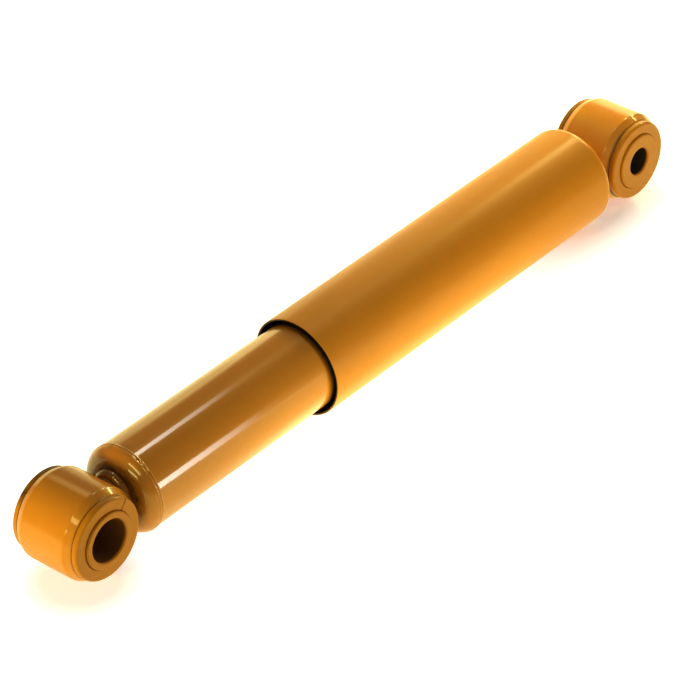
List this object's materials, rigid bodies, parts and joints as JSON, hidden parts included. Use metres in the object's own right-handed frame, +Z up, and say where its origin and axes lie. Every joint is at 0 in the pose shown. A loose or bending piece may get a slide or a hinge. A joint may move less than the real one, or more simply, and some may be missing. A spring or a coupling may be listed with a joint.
{
  "type": "shock absorber",
  "caption": "Telescopic twin-tube hydraulic shock absorber with a rubber-bushed mounting eye at each end and a dust tube over its rod.",
  "frame": {"origin": "centre of the lower eye's bore, on the damper's axis", "axes": "+X along the damper's axis from the lower eye to the upper eye, Y along both eyes' bores, +Z up with the unit lying down"},
  "size_m": [0.6048, 0.0716, 0.0716],
  "materials": {
    "painted_steel": "gloss sprayed paint",
    "painted_rubber": "rubber under sprayed paint",
    "painted_sleeve": "steel with overspray on its ends",
    "drawn_steel": "drawn, oily",
    "chromed_steel": "hard chrome, ground",
    "sintered_iron": "sintered",
    "spring_steel": "rolled sheet",
    "bearing_bronze": "sintered bronze",
    "filled_ptfe": "smooth",
    "seal_rubber": "moulded"
  },
  "bodies": {
    "cylinder": {"lower_eye_ring": "painted_steel", "lower_bush": "painted_rubber", "lower_eye_weld": "painted_steel", "base_cap": "painted_steel", "base_seam_weld": "painted_steel", "reservoir_tube": "painted_steel", "pressure_tube": "drawn_steel", "base_valve_body": "sintered_iron", "compression_discs": "spring_steel", "base_valve_bolt": "drawn_steel", "intake_spring": "spring_steel", "rod_guide": "sintered_iron", "guide_bush": "bearing_bronze", "guide_o_ring": "seal_rubber", "rod_seal": "seal_rubber", "seal_plate": "drawn_steel"},
    "lower_sleeve": {"lower_sleeve": "painted_sleeve"},
    "intake_plate": {"intake_plate": "spring_steel"},
    "piston_ring": {"piston_ring": "filled_ptfe"},
    "rod": {"piston_rod": "chromed_steel", "piston": "sintered_iron", "rebound_discs": "spring_steel", "backing_washer": "drawn_steel", "piston_nut": "drawn_steel", "check_spring": "spring_steel", "support_washer": "drawn_steel", "rebound_stop": "drawn_steel", "rebound_bumper": "seal_rubber", "dust_plate": "drawn_steel", "dust_tube": "painted_steel", "upper_eye_weld": "painted_steel", "upper_eye_ring": "painted_steel", "upper_bush": "painted_rubber"},
    "check_plate": {"check_plate": "spring_steel"},
    "upper_sleeve": {"upper_sleeve": "painted_sleeve"}
  },
  "joints": [
    {"name": "rod_slide", "type": "slide", "parent": "cylinder", "child": "piston_ring", "axis": [1, 0, 0], "range_m": [-0.105, 0.13]},
    {"name": "rod_spin", "type": "hinge", "parent": "piston_ring", "child": "rod", "pos_m": [0, 0, 0], "axis": [1, 0, 0], "continuous": true},
    {"name": "lower_eye_twist", "type": "hinge", "parent": "cylinder", "child": "lower_sleeve", "pos_m": [0, 0, 0], "axis": [0, 1, 0], "range_deg": [-15, 15], "stiffness_Nm_per_rad": 40},
    {"name": "upper_eye_twist", "type": "hinge", "parent": "rod", "child": "upper_sleeve", "pos_m": [0.5413, 0, 0], "axis": [0, 1, 0], "range_deg": [-15, 15], "stiffness_Nm_per_rad": 40},
    {"name": "intake_lift", "type": "slide", "parent": "cylinder", "child": "intake_plate", "axis": [1, 0, 0], "range_m": [0, 0.001], "stiffness_N_per_m": 400, "deforming": ["intake_spring"]},
    {"name": "check_lift", "type": "slide", "parent": "rod", "child": "check_plate", "axis": [1, 0, 0], "range_m": [0, 0.001], "stiffness_N_per_m": 400, "deforming": ["check_spring"]}
  ]
}
